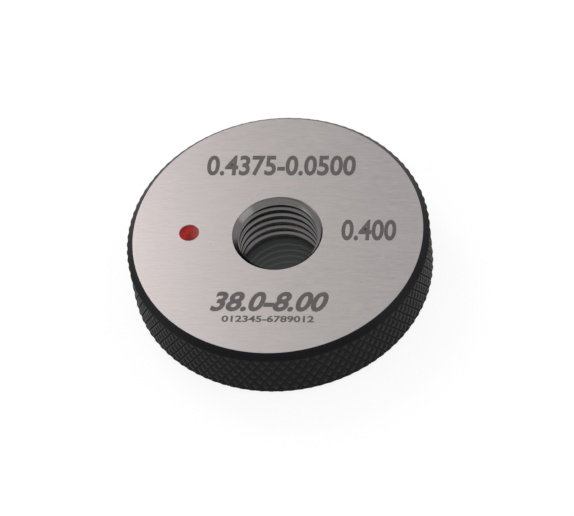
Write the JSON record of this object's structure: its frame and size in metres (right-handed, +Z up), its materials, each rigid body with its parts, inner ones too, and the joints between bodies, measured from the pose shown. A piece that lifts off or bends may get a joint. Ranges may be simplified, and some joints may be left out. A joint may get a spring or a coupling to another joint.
{
  "type": "thread ring gauge",
  "caption": "Knurled steel ring with a threaded hole through its middle, for gauging an external thread by hand.",
  "frame": {"origin": "centre of the lower face, which stands on the surface below it", "axes": "+Z up the thread's axis to the marked face, +X along the base line of the marking, with the red mark on the -X side"},
  "size_m": [0.038, 0.038, 0.008],
  "materials": {
    "gauge_steel": "satin",
    "red_enamel": "gloss"
  },
  "bodies": {
    "root": {"gauge_ring": "gauge_steel", "red_mark": "red_enamel"}
  },
  "joints": []
}
